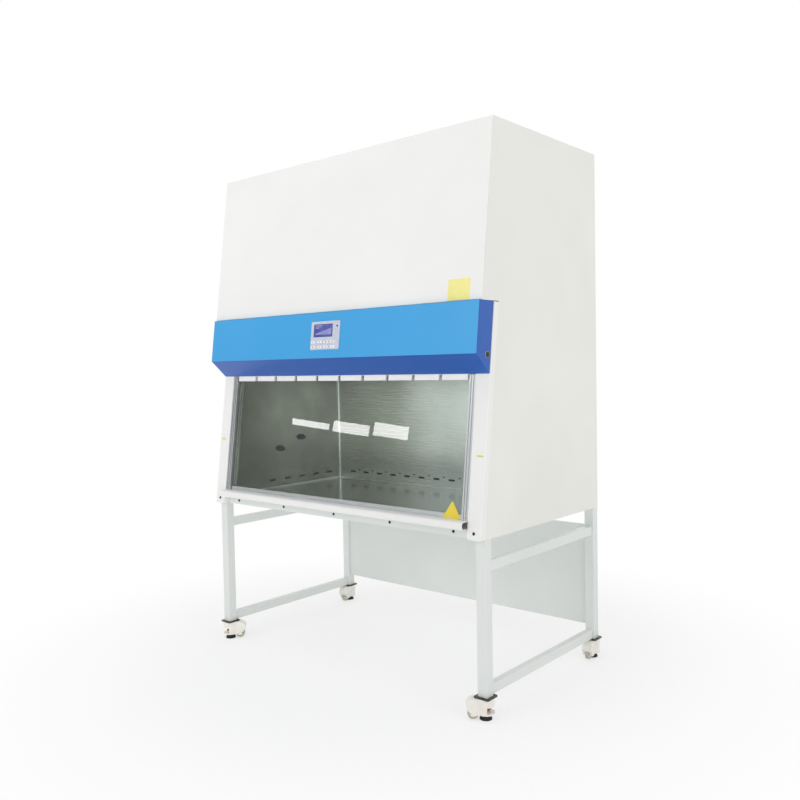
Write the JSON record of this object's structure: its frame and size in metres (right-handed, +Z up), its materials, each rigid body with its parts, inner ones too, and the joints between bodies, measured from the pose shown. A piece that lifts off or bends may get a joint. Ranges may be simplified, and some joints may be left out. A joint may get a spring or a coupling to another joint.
{
  "type": "biosafety cabinet",
  "caption": "Floor standing biosafety cabinet with a sliding sash, a hinged blue hood with a control panel, a stainless work chamber, a blower with filters, and a stand on levelling casters.",
  "frame": {"origin": "on the floor, under the middle of the whole object", "axes": "+Z up, -Y towards the user, +X to the user's right"},
  "size_m": [1.599, 0.955, 2.25],
  "materials": {
    "white_paint": "white powder coat, satin",
    "stand_paint": "light grey powder coat, satin",
    "blue_paint": "blue powder coat, semi gloss",
    "stainless": "brushed stainless steel",
    "galvanised": "galvanised sheet",
    "aluminium": "anodised, satin",
    "machined_steel": "machined steel",
    "weight_iron": "plain cast",
    "glass": "clear, polished",
    "panel_plastic": "lilac grey moulded, fine texture",
    "display": "blue violet window, gloss",
    "key_plastic": "white keys, satin",
    "belt_rubber": "toothed belt rubber",
    "filter_paper": "pleated fibre paper",
    "black_plastic": "black moulded, fine texture",
    "lamp_white": "opal diffuser",
    "motor_paint": "dark grey enamel",
    "lock_chrome": "polished",
    "caster_plastic": "ivory moulded, satin",
    "wheel_plastic": "ivory moulded, worn",
    "foot_rubber": "black rubber pad",
    "plate_dark": "dark zinc plate"
  },
  "bodies": {
    "cabinet": {"side_panels": "white_paint", "rear_panel": "white_paint", "top_panel": "white_paint", "upper_front_panel": "white_paint", "base_pan": "white_paint", "sill_bar": "white_paint", "window_posts": "white_paint", "sash_channels": "aluminium", "sash_belts": "belt_rubber", "shaft_bearings": "machined_steel", "hood_hinges": "machined_steel", "inner_back_wall": "stainless", "inner_side_walls": "stainless", "wall_ports": "black_plastic", "work_surface": "stainless", "front_grille": "stainless", "plenum_box": "galvanised", "diffuser_panel": "white_paint", "supply_filter": "filter_paper", "exhaust_filter": "filter_paper", "blower_housing": "galvanised", "blower_motor": "motor_paint", "light_strip": "lamp_white", "uv_lamp": "lamp_white", "mains_inlet": "black_plastic", "panel_screws": "black_plastic", "stand_legs": "stand_paint", "stand_rails": "stand_paint", "modesty_panel": "stand_paint", "caster_plates": "plate_dark"},
    "sash": {"sash_glass": "glass", "sash_fittings": "aluminium"},
    "counterweights": {"counterweights": "weight_iron"},
    "drive_shaft": {"drive_shaft": "machined_steel"},
    "idler_shaft": {"idler_shaft": "machined_steel"},
    "hood": {"hood_shell": "blue_paint", "control_bezel": "panel_plastic", "display_screen": "display"},
    "hood_lock": {"hood_lock": "lock_chrome"},
    "blower_impeller": {"blower_impeller": "galvanised"},
    "key_1": {"key_1": "key_plastic"},
    "key_2": {"key_2": "key_plastic"},
    "key_3": {"key_3": "key_plastic"},
    "key_4": {"key_4": "key_plastic"},
    "key_5": {"key_5": "key_plastic"},
    "key_6": {"key_6": "key_plastic"},
    "key_7": {"key_7": "key_plastic"},
    "key_8": {"key_8": "key_plastic"},
    "caster_housing_front_left": {"caster_housing_front_left": "caster_plastic"},
    "caster_wheel_front_left": {"caster_wheel_front_left": "wheel_plastic"},
    "caster_foot_front_left": {"caster_foot_front_left": "foot_rubber"},
    "caster_housing_front_right": {"caster_housing_front_right": "caster_plastic"},
    "caster_wheel_front_right": {"caster_wheel_front_right": "wheel_plastic"},
    "caster_foot_front_right": {"caster_foot_front_right": "foot_rubber"},
    "caster_housing_rear_right": {"caster_housing_rear_right": "caster_plastic"},
    "caster_wheel_rear_right": {"caster_wheel_rear_right": "wheel_plastic"},
    "caster_foot_rear_right": {"caster_foot_rear_right": "foot_rubber"},
    "caster_housing_rear_left": {"caster_housing_rear_left": "caster_plastic"},
    "caster_wheel_rear_left": {"caster_wheel_rear_left": "wheel_plastic"},
    "caster_foot_rear_left": {"caster_foot_rear_left": "foot_rubber"}
  },
  "joints": [
    {"name": "sash_lift", "type": "slide", "parent": "cabinet", "child": "sash", "axis": [0, 0.1271, 0.9919], "range_m": [0, 0.45]},
    {"name": "counterweight_run", "type": "slide", "parent": "cabinet", "child": "counterweights", "axis": [0, 0.1271, 0.9919], "range_m": [-0.45, 0]},
    {"name": "drive_shaft_turn", "type": "hinge", "parent": "cabinet", "child": "drive_shaft", "pos_m": [0, -0.20502, 2.12877], "axis": [-1, 0, 0], "range_deg": [0, 1180]},
    {"name": "idler_shaft_turn", "type": "hinge", "parent": "cabinet", "child": "idler_shaft", "pos_m": [0, -0.30858, 1.32038], "axis": [-1, 0, 0], "range_deg": [0, 1180]},
    {"name": "hood_swing", "type": "hinge", "parent": "cabinet", "child": "hood", "pos_m": [0, -0.42612, 1.5625], "axis": [-1, 0, 0], "range_deg": [0, 70]},
    {"name": "hood_lock_turn", "type": "hinge", "parent": "hood", "child": "hood_lock", "pos_m": [0.786, -0.389, 1.365], "axis": [-1, 0, 0], "range_deg": [0, 90]},
    {"name": "blower_spin", "type": "hinge", "parent": "cabinet", "child": "blower_impeller", "pos_m": [0, 0.02, 1.708], "axis": [1, 0, 0], "continuous": true},
    {"name": "key_1_press", "type": "slide", "parent": "hood", "child": "key_1", "axis": [0, 0.9919, -0.1271], "range_m": [0, 0.001], "stiffness_N_per_m": 800},
    {"name": "key_2_press", "type": "slide", "parent": "hood", "child": "key_2", "axis": [0, 0.9919, -0.1271], "range_m": [0, 0.001], "stiffness_N_per_m": 800},
    {"name": "key_3_press", "type": "slide", "parent": "hood", "child": "key_3", "axis": [0, 0.9919, -0.1271], "range_m": [0, 0.001], "stiffness_N_per_m": 800},
    {"name": "key_4_press", "type": "slide", "parent": "hood", "child": "key_4", "axis": [0, 0.9919, -0.1271], "range_m": [0, 0.001], "stiffness_N_per_m": 800},
    {"name": "key_5_press", "type": "slide", "parent": "hood", "child": "key_5", "axis": [0, 0.9919, -0.1271], "range_m": [0, 0.001], "stiffness_N_per_m": 800},
    {"name": "key_6_press", "type": "slide", "parent": "hood", "child": "key_6", "axis": [0, 0.9919, -0.1271], "range_m": [0, 0.001], "stiffness_N_per_m": 800},
    {"name": "key_7_press", "type": "slide", "parent": "hood", "child": "key_7", "axis": [0, 0.9919, -0.1271], "range_m": [0, 0.001], "stiffness_N_per_m": 800},
    {"name": "key_8_press", "type": "slide", "parent": "hood", "child": "key_8", "axis": [0, 0.9919, -0.1271], "range_m": [0, 0.001], "stiffness_N_per_m": 800},
    {"name": "caster_swivel_front_left", "type": "hinge", "parent": "cabinet", "child": "caster_housing_front_left", "pos_m": [-0.7655, -0.4015, 0.05], "axis": [0, 0, 1], "continuous": true},
    {"name": "caster_roll_front_left", "type": "hinge", "parent": "caster_housing_front_left", "child": "caster_wheel_front_left", "pos_m": [-0.72873, -0.37065, 0.025], "axis": [-0.6428, 0.766, 0], "continuous": true},
    {"name": "caster_foot_lift_front_left", "type": "slide", "parent": "caster_housing_front_left", "child": "caster_foot_front_left", "axis": [0, 0, 1], "range_m": [-0.008, 0.008]},
    {"name": "caster_swivel_front_right", "type": "hinge", "parent": "cabinet", "child": "caster_housing_front_right", "pos_m": [0.7655, -0.4015, 0.05], "axis": [0, 0, 1], "continuous": true},
    {"name": "caster_roll_front_right", "type": "hinge", "parent": "caster_housing_front_right", "child": "caster_wheel_front_right", "pos_m": [0.72873, -0.43235, 0.025], "axis": [0.6428, -0.766, 0], "continuous": true},
    {"name": "caster_foot_lift_front_right", "type": "slide", "parent": "caster_housing_front_right", "child": "caster_foot_front_right", "axis": [0, 0, 1], "range_m": [-0.008, 0.008]},
    {"name": "caster_swivel_rear_right", "type": "hinge", "parent": "cabinet", "child": "caster_housing_rear_right", "pos_m": [0.7655, 0.4435, 0.05], "axis": [0, 0, 1], "continuous": true},
    {"name": "caster_roll_rear_right", "type": "hinge", "parent": "caster_housing_rear_right", "child": "caster_wheel_rear_right", "pos_m": [0.77218, 0.39597, 0.025], "axis": [0.9903, 0.1392, 0], "continuous": true},
    {"name": "caster_foot_lift_rear_right", "type": "slide", "parent": "caster_housing_rear_right", "child": "caster_foot_rear_right", "axis": [0, 0, 1], "range_m": [-0.008, 0.008]},
    {"name": "caster_swivel_rear_left", "type": "hinge", "parent": "cabinet", "child": "caster_housing_rear_left", "pos_m": [-0.7655, 0.4435, 0.05], "axis": [0, 0, 1], "continuous": true},
    {"name": "caster_roll_rear_left", "type": "hinge", "parent": "caster_housing_rear_left", "child": "caster_wheel_rear_left", "pos_m": [-0.75389, 0.39693, 0.025], "axis": [0.9703, 0.2419, 0], "continuous": true},
    {"name": "caster_foot_lift_rear_left", "type": "slide", "parent": "caster_housing_rear_left", "child": "caster_foot_rear_left", "axis": [0, 0, 1], "range_m": [-0.008, 0.008]}
  ],
  "couplings": [
    {"joint": "counterweight_run", "follows": "sash_lift", "ratio": -1},
    {"joint": "drive_shaft_turn", "follows": "sash_lift", "rad_per_m": 45.455},
    {"joint": "idler_shaft_turn", "follows": "sash_lift", "rad_per_m": 45.455}
  ]
}
